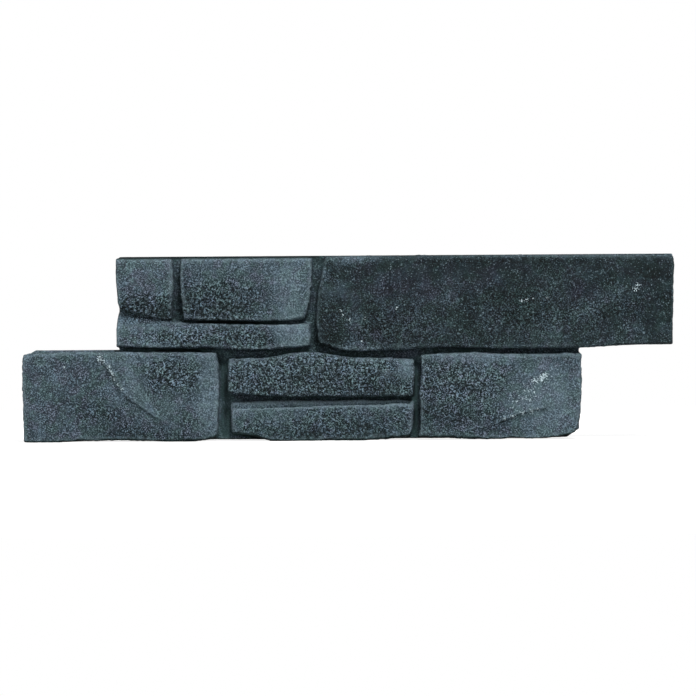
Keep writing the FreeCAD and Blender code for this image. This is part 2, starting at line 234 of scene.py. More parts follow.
# The dark stone: its left end and how far the stain takes to come in there, and its lower edge
DARK_STONE_LEFT = -29.0
STAIN_FADE = 7
UPPER_COURSE = (-0.5, 0.5)

# Each patch: across, up, reach across, reach up, tilt, strength
ROUGH_PATCHES = [
    (-168, 32, 17, 11, 0, 1.3),
    (-108, 35, 35, 17, 0, 1.2),
    (-150, 10, 24, 6, 0, 0.5),
    (-85, 9, 40, 7, 0, 0.95),
    (-25, 40, 16, 30, -20, 0.3),
    (40, 22, 60, 20, 0, 0.45),
    (150, 30, 55, 20, 0, 0.4),
    (220, 25, 35, 20, 0, 0.3),
    (-144, -20, 18, 13, 0, 1.1),
    (-225, -32, 35, 26, 0, 0.05),
    (-165, -62, 50, 10, -15, 0.35),
    (-25, -22, 85, 18, 0, 1.4),
    (-25, -62, 85, 13, 0, 0.5),
    (92, -35, 42, 30, 0, 0.6),
]
# Smooth places, paler and less rough. The bands along the lower stones' top edges (up -8 and -8.5) are
# also painted highlight, and the band on the ledge under the stone above it (up -44.6) is painted light
# in its shade
SMOOTH_AND_LIT_PATCHES = [
    (-160, 62, 25, 10, 0, 0.35),
    (-46, 45, 15, 30, 0, 0.68),
    (-100, 66, 55, 7, 0, 0.2),
    (-45, 12, 14, 10, 0, 1.2),
    (-165, 19, 24, 5, 0, 0.5),
    (-172, -30, 9, 22, 25, 0.7),
    (-112, -38, 9, 35, 0, 1.0),
    (-25, -44.6, 95, 3, 0, 0.8),
    (160, -45, 26, 30, 0, 0.9),
    (18, -12, 12, 5, 0, 0.4),
    (46, -18, 7, 9, 0, 1.2),
    (-147, -8, 50, 4, 0, 0.35),
    (95, -8.5, 42, 5, 0, 0.55),
    (-110, 17, 36, 2.6, 0, 0.3),
    (130, -45, 16, 12, 0, 0.25),
    (-144, -52, 12, 16, 0, 0.35),
    (-250, -30, 10, 12, 0, 0.35),
    (32, -47, 14, 5, 0, 0.4),
    (-85, -14, 12, 6, 0, 0.3),
    (-85, -52, 10, 6, 0, 0.5),
    (-56, -53, 16, 7, 0, 0.4),
]

# Dirt that darkens the rough hollows, and painted shade in lines along the dark stone's upper edge and
# right end, along the foot and under overhanging edges
GRIME_AND_SHADE_PATCHES = [
    (-168, 33, 17, 10, 0, 1.0),
    (-150, 28, 20, 7, 0, 0.5),
    (-105, 35, 36, 14, 0, 1.3),
    (-144, 9, 8, 6, 0, 0.5),
    (-95, 11, 12, 6, 0, 1.0),
    (-66, 8, 14, 7, 0, 1.0),
    (-112, 4, 16, 4, 0, 0.5),
    (-144, -21, 17, 12, 0, 0.5),
    (-190, -58, 40, 12, -20, 0.75),
    (-25, -22, 85, 17, 0, 0.65),
    (-25, -64, 85, 9, 0, 0.6),
    (75, -45, 30, 28, 0, 0.5),
    (120, -62, 25, 7, 0, 0.5),
    (78, -57, 18, 9, 0, 0.4),
    (60, 64, 20, 7, 0, 0.5),
    (112, 62, 32, 8, 0, 0.5),
    (150, 54, 12, 10, 0, 0.4),
    (236, 60, 22, 12, 0, 0.6),
    (215, 22, 14, 7, 0, 0.5),
    (-25, -34, 85, 4, 0, 0.4),
    (-132, 50, 4, 24, 0, 0.6),
    (-17, 11, 18, 8, -53, 0.9),
    (22, -27, 20, 10, 0, 0.4),
    (20, -60, 16, 9, 0, 0.5),
    (120, 70, 95, 2.6, 0, 1.2),
    (259, 38, 2.5, 40, 0, 0.8),
    (-20, 29, 8, 10, 0, 0.5),
    (244, 56, 16, 12, 0, 0.5),
    (166, -7, 22, 3.5, 0, 0.7),
    (61, -48, 4, 8, 0, 0.8),
    (-110, 4.5, 38, 3.5, 0, 0.5),
    (-182, -71, 24, 5, 0, 1.0),
    (-45, -71, 55, 5, 0, 0.9),
    (22, -71, 22, 5, 0, 0.9),
    (70, -73, 22, 4, 0, 0.6),
]

# Where the dark stone has little grain
CALM_PATCHES = [
    (48, 62, 30, 8, 0, 0.9),
    (112, 62, 32, 8, 0, 0.8),
    (236, 60, 22, 12, 0, 0.9),
    (246, 22, 12, 16, 0, 0.8),
    (-5, 44, 20, 8, -25, 0.8),
    (213, 22, 14, 6, 0, 0.7),
]

# Where the pigment turns purple-brown; elsewhere it turns green
PURPLE_PATCHES = [
    (48, 50, 36, 15, 0, 1.0),
    (112, 55, 14, 10, 0, 0.7),
    (185, 45, 14, 12, 0, 0.8),
    (25, 10, 28, 8, 0, 0.6),
    (-165, 52, 12, 12, 0, 1.0),
    (-72, 48, 16, 14, 0, 0.7),
    (-60, 12, 20, 7, 0, 0.7),
    (-225, -20, 26, 14, 0, 0.9),
    (-240, -55, 20, 15, 0, 0.7),
    (-172, -58, 20, 10, 0, 0.8),
    (80, -25, 24, 16, 0, 0.8),
    (125, -62, 18, 7, 0, 0.9),
    (78, -57, 16, 8, 0, 0.9),
    (165, -12, 20, 8, 0, 0.6),
]

# Where the dark stone's stain is thin, evenly or in rags
BARE_PATCHES = [
    (2, 71, 21, 3.4, 0, 1.1),
    (-21, 62, 4, 9, 20, 0.6),
    (-6, 46, 22, 8, -25, 0.32),
    (8, 14, 5, 14, 0, 0.22),
    (0, 2, 18, 3, 0, 0.6),
    (165, 28, 48, 22, 0, 0.08),
]
RAGGED_BARE_PATCHES = [
    (3, 21, 11.2, 8, 0, 0.25),
    (176, 58, 8.4, 6, 0, 0.25),
    (224, 9, 12.6, 9, 0, 0.25),
    (75, 45, 14, 10, 0, 0.25),
    (60, 20, 16.8, 12, 0, 0.25),
    (160, 10, 16.8, 12, 0, 0.25),
    (201, 34, 24, 6, 32, 0.65),
]

# Hollows and bosses on the faces, by their height
HOLLOWS = [
    (-168, 30, 17, 7, -10, -1.3),
    (-108, 30, 30, 10, 0, -0.7),
    (-144, -22, 16, 10, 0, -0.8),
    (-80, 8, 14, 5, -20, -0.7),
    (-97, 9, 9, 5, 0, 0.7),
    (-215, -52, 22, 10, 10, -0.6),
    (-195, -62, 20, 7, -15, 0.5),
    (-40, -27, 22, 6, 0, -0.7),
    (35, -22, 14, 7, 0, 0.6),
    (-5, -64, 26, 6, 0, -0.7),
    (88, -58, 26, 9, 0, -0.7),
    (110, -20, 18, 8, 20, 0.5),
    (55, 45, 24, 12, -20, -0.8),
    (95, 25, 20, 9, 35, 0.7),
    (150, 20, 18, 10, -30, -0.7),
    (205, 40, 16, 9, 30, 0.8),
    (232, 20, 14, 9, 0, -0.6),
    (-25, -44.5, 90, 2.6, 0, 1.1),
]

# Patches where a split runs out: the relief is blurred there
BLURRED_PATCHES = [
    (178, -44, 15, 8, 15, 1.0),
    (-192, -18, 13, 5, -57, 0.9),
    (90, -72, 14, 6, 0, 1.0),
    (-136, -70, 12, 9, -40, 1.0),
    (-183, -34, 10, 9, 0, 1.0),
]

# A place where pale specks gather
SPECKLED_PATCHES = [
    (146, -35, 28, 8, 36, 0.32),
]

# Small moves of the stones' edges beside the joints and along the foot. Each has its place across
# and up, its reach across and up, and its move across and up
NUDGES = [
    (1, 1.5, 186, 3.6, 0, -1.6),
    (20, 0, 30, 4, 0, -1.4),
    (-105, 24.5, 48, 3.2, 0, -1.1),
    (-25, -40.5, 85, 3.4, 0, 0.8),
    (-142, 50, 3.2, 24, 1.0, 0),
    (-31.5, 11, 3.2, 10, -1.2, 0),
    (-102, -25, 7, 17, 1.5, 0),
    (-105.5, -58, 3.2, 14, 0.8, 0),
    (-95, -58, 3.2, 12, -1.1, 0),
    (54, -55, 6, 15, 1.3, 0),
    (-185, -74, 85, 3.4, 0, -0.9),
    (-25, -73, 82, 3.4, 0, -1.1),
    (118, -72.5, 64, 3.4, 0, -1.0),
]

# Bands along the joints: across, up, reach across, reach up
FRAYED_JOINT = (-25, -39, 85, 4)
UNDARKENED_LEDGE = (-25, -43.8, 78, 3.2)

# Joints darker with painted shadow under the stone above, and joints that look wider with painted shade
# on their walls, by the same four numbers and a strength
SHADOWED_JOINTS = [
    (-147, -2, 44, 2.8, 1.3),
    (45, -2.2, 148, 2.8, 0.7),
    (-88, 21.3, 35, 2.4, 1.2),
]
WIDE_JOINTS = [
    (-99, -42, 4, 34, 1.3),
    (53, -42, 3.2, 34, 1.4),
]

# Parts of the dark stone's upper edge that wear bare: where that begins, where it is full, strength
BARE_TOP_EDGE = (72.3, 72.9)
BARE_TOP_PARTS = [
    (60, 150, 0.45),
    (195, 220, 0.25),
]

# The dark stone's lower edge, where its stain thins along its length: height, reach, strength
BARE_LOWER_EDGE, BARE_LOWER_REACH, BARE_LOWER_STRENGTH = 0.5, 1.5, 0.3

# Outer edges kept free of the joints' dirt and painted shade: the height, then the place to the right or
# left, from which they are
UNDARKENED_TOP, UNDARKENED_TOP_RIGHTWARD = (71, 72.5), (-27, -25)
UNDARKENED_STEP, UNDARKENED_STEP_LEFTWARD = (-4, -2.5), (187, 190)

# Lines of painted shade: along the upper edge, by height, right end and strength, and along the
# foot, by the way down from the centre and strength
BLACK_TOP, BLACK_TOP_END, BLACK_TOP_STRENGTH = (72.2, 72.9), (-24, -18), 1.5
BLACK_FOOT_DOWN, BLACK_FOOT_STRENGTH = (66, 70), 1.45

# Height maps: how far they are blurred, and the rises at which joints and crests begin and are full
JOINT_SPREAD, JOINT_RISES = 4.0, (2.5, 9.0)
CREST_SPREAD, CREST_RISES = 2.5, (1.2, 3.2)

# How much a point faces ahead, down or up, where that begins to count and where it counts in full
TOP_LINE_AHEAD = (0.0, 0.25)
FOOT_LINE_DOWN = (0.15, 0.45)
CREST_UP = (-0.05, 0.4)
PALE_BULGE_UP = (-0.6, -0.1)
UNSHADED_UP = (-0.55, 0.0)

# Noise in the fields: the size of its bumps in millimetres and its strength
STAIN_SWAY_SIZE, STAIN_SWAY = 9, 1.2
RAG_SIZE = 9
PURPLE_CLOUD_SIZE, PURPLE_CLOUDS = 15, 0.9
# Painted shade on whatever faces down outside the stain
UNDERSIDE_SHADE = 0.45

# Faults: lines across a face, as places across and up, where the face drops on the right-hand side.
# Each has its line, its drop, how far the drop takes to recover, and how far it fades at its ends
FAULTS = [
    ([(118, -61), (131, -56.5), (139, -53.5), (149, -50.5), (163, -49)], 1.3, 13, 9),
    ([(-200, -6), (-194, -15), (-186, -28)], 0.7, 9, 5),
    ([(-14, 70), (-8, 60), (-3, 55)], 0.8, 8, 4),
]

# Pale chips: across, up, reach
CHIPS = [
    (-199, -6.5, 2.6), (-196, -9.8, 1.8), (-192.3, -13, 1.9), (-190.4, -17, 1.5), (-189, -20.5, 1.7),
    (-187.5, -24, 1.6), (-185, -28, 1.4), (-182.5, -31.5, 1.4), (-228, -14, 1.2),
    (155, -24, 2.8), (158, -22, 1.6), (150, -27, 1.4), (126, -57.5, 1.2), (132, -55.5, 1.8),
    (140, -53, 1.5), (147, -51.5, 2.0), (152, -50, 1.3), (139.5, 37.4, 1.5), (143.5, 38, 1.5),
    (148, 39.6, 1.3), (231, 46, 2.2), (233, 50, 1.5), (160, 39.5, 1.2), (-5.8, 30.3, 1.2),
    (-3.2, 26.9, 1.2), (1, 23, 1.4), (13.7, 24.1, 1.2), (11, 6, 1.1), (39, 32.4, 1.2),
]


def summed(points, patches):
    """All patches of a list together."""
    total = np.zeros(len(points))
    for x, z, reach_x, reach_z, tilt, strength in patches:
        total += strength * patch(points, x, z, reach_x, reach_z, tilt)
    return total


def summed_strips(points, strips):
    """All strips of a list together."""
    return sum(strength * strip(points, *place) for *place, strength in strips)


def fault(points, line, drop, recovery, fade):
    """How far the face drops beside one fault line."""
    lip = (-0.5, 0.7)
    flat = points[:, (0, 2)]
    corners = np.array(line, float)
    runs = np.linalg.norm(np.diff(corners, axis=0), axis=1)
    starts = np.concatenate([[0], np.cumsum(runs)])
    best = np.full(len(flat), 1e9)
    aside = np.zeros(len(flat))
    place = np.zeros(len(flat))
    for k, run in enumerate(runs):
        way = (corners[k + 1] - corners[k]) / run
        off = flat - corners[k]
        along = np.clip(off @ way, 0, run)
        gap = np.linalg.norm(off - along[:, None] * way, axis=1)
        side = off[:, 0] * way[1] - off[:, 1] * way[0]
        nearer = gap < best
        best = np.where(nearer, gap, best)
        aside = np.where(nearer, np.sign(side) * gap, aside)
        place = np.where(nearer, starts[k] + along, place)
    taper = ramp(place, 0, fade) * ramp(starts[-1] - place, 0, fade)
    return drop * ramp(aside, *lip) * np.exp(-np.maximum(aside, 0) / recovery) * taper


# Mesh as arrays

def read_points(mesh):
    """Its points, in millimetres."""
    flat = np.empty(len(mesh.vertices) * 3)
    mesh.vertices.foreach_get("co", flat)
    return flat.reshape(-1, 3) / MM


def write_points(mesh, points):
    """Puts points, in millimetres, back in the mesh."""
    mesh.vertices.foreach_set("co", (points * MM).ravel())
    mesh.update()


def read_normals(mesh):
    """The direction that the skin faces at each point."""
    flat = np.empty(len(mesh.vertices) * 3)
    mesh.vertex_normals.foreach_get("vector", flat)
    return flat.reshape(-1, 3)


def read_edges(mesh):
    """The numbers of both ends of each edge."""
    flat = np.empty(len(mesh.edges) * 2, np.int64)
    mesh.edges.foreach_get("vertices", flat)
    return flat.reshape(-1, 2)


def add_fields(mesh, fields):
    """Keeps one number per point and field for the material."""
    for name, values in fields.items():
        field = mesh.attributes.new(name, "FLOAT", "POINT")
        field.data.foreach_set("value", np.asarray(values, np.float32))


def boxed(points):
    """Points kept inside the CAD model's box, with a little room for what thinning moves."""
    low, high = (np.array(corner) / MM for corner in cad_bounds)
    return np.clip(points, low + BOX_INSET, high - BOX_INSET)


def averaged(values, edges):
    """For each point, the mean of its neighbours' values."""
    columns = values.reshape(len(values), -1).T
    ends = np.concatenate([edges[:, 0], edges[:, 1]])
    others = np.concatenate([edges[:, 1], edges[:, 0]])
    count = np.maximum(1, np.bincount(ends, minlength=len(values)))
    means = [np.bincount(ends, column[others], len(values)) / count for column in columns]
    return np.stack(means, axis=1).reshape(values.shape)


def rise_map(points, spread):
    """How far the surroundings stand out ahead of each point, from a height map with 1 mm cells."""
    margin = 10
    low = points.min(axis=0) - margin
    across = (points[:, 0] - low[0]).astype(int)
    up = (points[:, 2] - low[2]).astype(int)
    grid = np.zeros((across.max() + margin, up.max() + margin))
    np.maximum.at(grid, (across, up), -points[:, 1])
    reach = np.arange(-int(3 * spread), int(3 * spread) + 1)
    kernel = np.exp(-0.5 * (reach / spread) ** 2)
    kernel /= kernel.sum()
    for axis in (0, 1):
        grid = np.apply_along_axis(lambda row: np.convolve(row, kernel, mode="same"), axis, grid)
    return grid[across, up] + points[:, 1]


# Skin

def remeshed(source):
    """A fine, even mesh over the solid, with its back taken off."""
    copy = bpy.data.objects.new("skin_source", source.data.copy())
    bpy.context.scene.collection.objects.link(copy)
    remesh = copy.modifiers.new("fine", "REMESH")
    remesh.mode = "VOXEL"
    remesh.voxel_size = VOXEL * MM
    graph = bpy.context.evaluated_depsgraph_get()
    mesh = bpy.data.meshes.new_from_object(copy.evaluated_get(graph))
    bpy.data.objects.remove(copy)
    bm = bmesh.new()
    bm.from_mesh(mesh)
    back = [f for f in bm.faces if min(v.co.y for v in f.verts) > -BACK_LAYER * MM]
    bmesh.ops.delete(bm, geom=back, context="FACES")
    bm.to_mesh(mesh)
    bm.free()
    return mesh


def smooth(points, edges):
    """Takes the steps out of the remesh, and blurs the places where a split runs out."""
    for _ in range(SMOOTHING_ROUNDS):
        points += SMOOTHING_SHARE * (averaged(points, edges) - points)
    blur = np.clip(summed(points, BLURRED_PATCHES), 0, 1)[:, None]
    for _ in range(BLURRING_ROUNDS):
        points += SMOOTHING_SHARE * blur * (averaged(points, edges) - points)


def roughness(points):
    """How rough the split is, from 0.22 on the smoothest faces to 1.16."""
    mottle = layered(points, MOTTLE_SIZE, SEED + 1)
    rough = summed(points, ROUGH_PATCHES) - SMOOTH_WEIGHT * summed(points, SMOOTH_AND_LIT_PATCHES)
    rough = rough + MOTTLE_WEIGHT * mottle
    return LEAST_ROUGHNESS + (1 - LEAST_ROUGHNESS) * np.clip(rough, 0, MOST_PATCHES)


def split_shape(points, rough):
    """Height of the broad waves, crests, hollows and faults of a split face."""
    shape = BROAD_HEIGHT * layered(points, BROAD_SIZE, SEED + 11)
    shape = shape + SMALL_HEIGHT * layered(points, SMALL_SIZE, SEED + 12)
    crests = 1 - np.abs(waves(points, CREST_SIZE, SEED + 13)) * 2
    shape += CREST_HEIGHT * crests * rough + summed(points, HOLLOWS)
    for line, drop, recovery, fade in FAULTS:
        shape -= fault(points, line, drop, recovery, fade)
    return shape


def move_edges(points, proud, on_stone):
    """Moves points along the wall: a sway of the edges, the nudges and the fray of one joint."""
    for axis in (0, 2):
        sway = LONG_SWAY * waves(points, LONG_SWAY_SIZE, SEED + 61 + axis)
        sway = sway + SHORT_SWAY * waves(points, SHORT_SWAY_SIZE, SEED + 71 + axis)
        points[:, axis] += sway * on_stone
    inner = ramp(proud, *MOVING_LEVELS)
    for x, z, reach_x, reach_z, move_x, move_z in NUDGES:
        share = inner * strip(points, x, z, reach_x, reach_z)
        points[:, 0] += move_x * share
        points[:, 2] += move_z * share
    share = inner * strip(points, *FRAYED_JOINT)
    points[:, 2] += FRAY * layered(points, FRAY_SIZE, SEED + 81) * share


def carve(mesh):
    """Gives the skin its relief and returns the fields that the material uses."""
    points = read_points(mesh)
    smooth(points, read_edges(mesh))
    write_points(mesh, points)
    normals = read_normals(mesh)
    proud = -points[:, 1]
    on_stone = ramp(proud, *STONE_LEVELS)
    facing = np.clip(-normals[:, 1], 0, 1)
    rough = roughness(points)
    strength = rough * (SIDE_SHARE + (1 - SIDE_SHARE) * facing)

    worms = ramp(veins(points, WORM_SIZE, SEED + 21), *WORM_RANGE)
    holes = 1 - ramp(cells(points, PIT_SIZE, SEED + 22), *PIT_RANGE)
    groups = ramp(waves(points, PIT_GROUP_SIZE, SEED + 23), *PIT_GROUP_RANGE)
    pits = np.clip(holes * groups - WORM_FILL * worms, 0, 1)
    grit = layered(points, GRIT_SIZE, SEED + 24, layers=2)
    small = strength * (WORM_HEIGHT * worms - PIT_DEPTH * pits)
    grains = GRIT_HEIGHT * grit * (SMOOTH_GRIT + rough)
    lift = on_stone * (split_shape(points, rough) + small + grains)
    joint_floor = JOINT_HEIGHT * layered(points, JOINT_SIZE, SEED + 31) + JOINT_GRIT_HEIGHT * grit
    lift += (1 - on_stone) * joint_floor
    chipped = ramp(layered(points, EDGE_CHIP_SIZE, SEED + 41, fall=0.8), *EDGE_CHIP_RANGE)
    edge = on_stone * (1 - facing) * ramp(proud, *CHIPPED_LEVELS)
    lift -= EDGE_CHIP_DEPTH * chipped * edge
    lift *= ramp(proud, *RELIEF_LEVELS)

    move_edges(points, proud, on_stone)
    points += normals * lift[:, None]
    write_points(mesh, boxed(points))
    share = np.clip(strength, 0, 1)
    return {"pits": pits * share * on_stone, "worms": worms * share * on_stone, "rough": rough * on_stone}


def thinned(mesh):
    """The same skin with fewer triangles where it is smooth."""
    obj = bpy.data.objects.new("skin_dense", mesh)
    bpy.context.scene.collection.objects.link(obj)
    triangles = obj.modifiers.new("triangles", "TRIANGULATE")
    triangles.quad_method = "SHORTEST_DIAGONAL"
    count = sum(len(p.vertices) - 2 for p in mesh.polygons)
    collapse = obj.modifiers.new("fewer", "DECIMATE")
    collapse.ratio = min(1.0, TRIANGLES_AFTER_THINNING / count)
    graph = bpy.context.evaluated_depsgraph_get()
    thin = bpy.data.meshes.new_from_object(obj.evaluated_get(graph))
    bpy.data.objects.remove(obj)
    return thin


def closed(mesh):
    """Takes off triangles that hang on by one edge, then fills the back with one flat face."""
    bm = bmesh.new()
    bm.from_mesh(mesh)
    ears = [f for f in bm.faces if sum(e.is_boundary for e in f.edges) > 1]
    bmesh.ops.delete(bm, geom=ears, context="FACES")
    rim = [e for e in bm.edges if e.is_boundary]
    for v in {v for e in rim for v in e.verts}:
        v.co.y = 0
    filled = bmesh.ops.holes_fill(bm, edges=rim, sides=0)["faces"]
    for f in bm.faces:
        f.smooth = True
    for f in filled:
        f.smooth = False
        for e in f.edges:
            e.smooth = False
    bmesh.ops.triangulate(bm, faces=filled)
    bm.normal_update()
    bm.to_mesh(mesh)
    bm.free()


# Fields for the material, from the finished shape

def stain_field(points, front):
    """The black stain on the dark stone, less where the stone is bare."""
    x, z = points[:, 0], points[:, 2]
    sway = STAIN_SWAY * waves(points, STAIN_SWAY_SIZE, SEED + 51)
    stain = ramp(x + sway, DARK_STONE_LEFT, DARK_STONE_LEFT + STAIN_FADE)
    stain *= ramp(z, *UPPER_COURSE) * front
    bare = summed(points, BARE_PATCHES)
    for begins, full, strength in BARE_TOP_PARTS:
        bare += strength * ramp(z, *BARE_TOP_EDGE) * ramp(x, begins, full)
    bare += BARE_LOWER_STRENGTH * np.exp(-((z - BARE_LOWER_EDGE) / BARE_LOWER_REACH) ** 2)
    rags = 1 + layered(points, RAG_SIZE, SEED + 52)
    bare += rags * summed(points, RAGGED_BARE_PATCHES)
    return stain * (1 - np.clip(bare, 0, 1))


def cavity_field(points, normals, front):
    """Dirt and painted shade in the joints, where the surroundings stand ahead, turning to black painted
    shade above 1, and lines of painted shade along the upper edge and the foot.
    """
    x, z = points[:, 0], points[:, 2]
    proud = -points[:, 1]
    # Painted shade and dirt: darker where the surroundings stand out ahead of a point
    cavity = ramp(rise_map(points, JOINT_SPREAD), *JOINT_RISES)
    cavity *= 1 + summed_strips(points, SHADOWED_JOINTS)
    wide = summed_strips(points, WIDE_JOINTS) * (1 - ramp(proud, *UNDARKENED_FACE_LEVELS))
    cavity = np.maximum(cavity, wide)
    undarkened = ramp(z, *UNDARKENED_TOP) * ramp(x, *UNDARKENED_TOP_RIGHTWARD)
    undarkened = np.maximum(undarkened, ramp(z, *UNDARKENED_STEP) * ramp(-x, *UNDARKENED_STEP_LEFTWARD))
    undarkened = np.maximum(undarkened, strip(points, *UNDARKENED_LEDGE))
    cavity *= (1 - undarkened) * ramp(proud, *CAVITY_LEVELS)
    # Painted shade: a black line along the upper edge where it faces ahead, and along the foot where it
    # faces down
    top_line = ramp(z, *BLACK_TOP) * (1 - ramp(x, *BLACK_TOP_END))
    top_line *= ramp(-normals[:, 1], *TOP_LINE_AHEAD)
    foot_line = ramp(-normals[:, 2], *FOOT_LINE_DOWN) * ramp(-z, *BLACK_FOOT_DOWN) * front
    lines = np.maximum(BLACK_TOP_STRENGTH * top_line, BLACK_FOOT_STRENGTH * foot_line)
    return np.maximum(cavity, lines)


def crest_field(points, normals):
    """1 on crests that stand out ahead of their surroundings and face up, which the material paints pale
    as wear and painted highlight.
    """
    crest = ramp(-rise_map(points, CREST_SPREAD), *CREST_RISES) * ramp(-points[:, 1], *CREST_LEVELS)
    return crest * ramp(normals[:, 2], *CREST_UP)


def wear_field(points, normals, edges):
    """Above 0 where the skin bulges, if it doesn't face down, which the material paints pale as wear and
    painted highlight, and below 0 where it is hollow, painted black as painted shade.
    """
    gain = 6
    bulge = np.einsum("ij,ij->i", points - averaged(points, edges), normals)
    bulge = averaged(bulge, edges)
    bulge *= np.where(bulge > 0, ramp(normals[:, 2], *PALE_BULGE_UP), 1)
    return np.clip(bulge * gain, -1, 1)


def grime_and_shade_field(points, normals, stain):
    """Dirt and painted shade on the faces, and painted shade on whatever faces down outside the stain."""
    facing_down = 1 - ramp(normals[:, 2], *UNSHADED_UP)
    grime_and_shade = summed(points, GRIME_AND_SHADE_PATCHES) + UNDERSIDE_SHADE * facing_down * (1 - stain)
    return np.clip(grime_and_shade, 0, 1)


def purple_field(points):
    """Purple-brown pigment, with a noise of its own."""
    clouds = PURPLE_CLOUDS * layered(points, PURPLE_CLOUD_SIZE, SEED + 53)
    return np.clip(summed(points, PURPLE_PATCHES) + clouds, 0, 1)


def chips_field(points):
    """Pale chips and the specks around them."""
    chips = sum(patch(points, x, z, reach, reach) for x, z, reach in CHIPS)
    return np.clip(chips + summed(points, SPECKLED_PATCHES), 0, 1)


def colour_fields(mesh):
    """The fields that need the finished shape."""
    points = read_points(mesh)
    edges = read_edges(mesh)
    normals = read_normals(mesh)
    front = ramp(-points[:, 1], *COLOUR_LEVELS)
    stain = stain_field(points, front)
    return {
        "stain": stain,
        "cavity": cavity_field(points, normals, front),
        "crest": crest_field(points, normals),
        "wear": wear_field(points, normals, edges) * front,
        "pale": np.clip(summed(points, SMOOTH_AND_LIT_PATCHES), 0, 1) * front,
        "grime_and_shade": grime_and_shade_field(points, normals, stain) * front,
        "purple": purple_field(points) * front,
        "calm": np.clip(summed(points, CALM_PATCHES), 0, 1) * front,
        "chips": chips_field(points),
    }


# Material

# Colours of the concrete
SLATE = (0.043, 0.064, 0.075)
LIGHT = (0.125, 0.180, 0.214)
RIM = (0.290, 0.390, 0.445)
# Black of pores and pits, and of painted shade in the joints and hollows and along the edges
PORE_AND_SHADE_BLACK = (0.004, 0.009, 0.010)
# Dirt and painted shade in the joints
JOINT_DIRT_AND_SHADE = (0.029, 0.060, 0.060)
CHIP = (0.48, 0.60, 0.65)

# Colours that another colour is multiplied by
EVEN = (1.0, 1.0, 1.0)
GREEN_SHADE = (0.89, 1.02, 0.97)
PURPLE_SHADE = (1.01, 0.91, 1.03)
BLUE_SHADE = (0.93, 0.98, 1.06)
ROUGH_SHADE = (0.88, 0.95, 1.0)
# Darker by grime and painted shade, under and over the grain
GRIME_AND_SHADE_UNDER_GRAIN = (0.58, 0.65, 0.64)
GRIME_AND_SHADE_OVER_GRAIN = (0.58, 0.63, 0.64)
GREEN_STAIN = (0.185, 0.235, 0.222)
PURPLE_STAIN = (0.225, 0.215, 0.255)

# Sizes of the material's noise, in millimetres
LIGHT_CLOUDS = 12
CREST_SPOTS = 8
HUE_CLOUDS = 10
BLUE_CLOUDS = 8
GRIME_AND_SHADE_CLOUDS = 7
SHADE_CLOUDS = 10
STAIN_CLOUDS = 17
GLOSS_CLOUDS = 6
GRAIN_CLUMPS = 5
CLOTS = 3.0
RIMS = 1.28
PORES = 0.98

# Grain: shares of the light lumps and rims in the colour, the value of the noise that the rims
# follow, and how far purple, grime with painted shade, and chips shift a noise
LUMP_SHARE = 0.75
RIM_SHARE = 0.62
RIDGE_LEVEL = 0.53
PURPLE_SHIFT = 0.17
GRIME_AND_SHADE_SHIFT = 0.015
CHIP_SHIFT = 0.42

# Surface of the concrete, with the height of its bumps in millimetres
BUMP_STRENGTH = 0.8
BUMP_HEIGHT = 0.8
RIM_HEIGHT_SHARE = 0.6
SHINE = 0.2

# Layers of one colour: the field, the values at which the layer begins and is full, its shares there
WEAR_AND_SHADE_LAYERS = [
    ("worms", (0.3, 0.9), (0.0, 0.2), RIM),
    # Pale on bulges that don't face down, wear and painted highlight; black in hollows, painted shade
    ("wear", (0.05, 0.6), (0.0, 0.22), RIM),
    ("wear", (-0.05, -0.6), (0.0, 0.35), PORE_AND_SHADE_BLACK),
    ("pits", (0.1, 0.5), (0.0, 0.8), PORE_AND_SHADE_BLACK),
]
# Dirt and painted shade in the joints, turning to black painted shade above 1
JOINT_LAYERS = [
    ("cavity", (0.0, 1.0), (0.0, 0.75), JOINT_DIRT_AND_SHADE),
    ("cavity", (1.0, 1.5), (0.0, 0.9), PORE_AND_SHADE_BLACK),
]


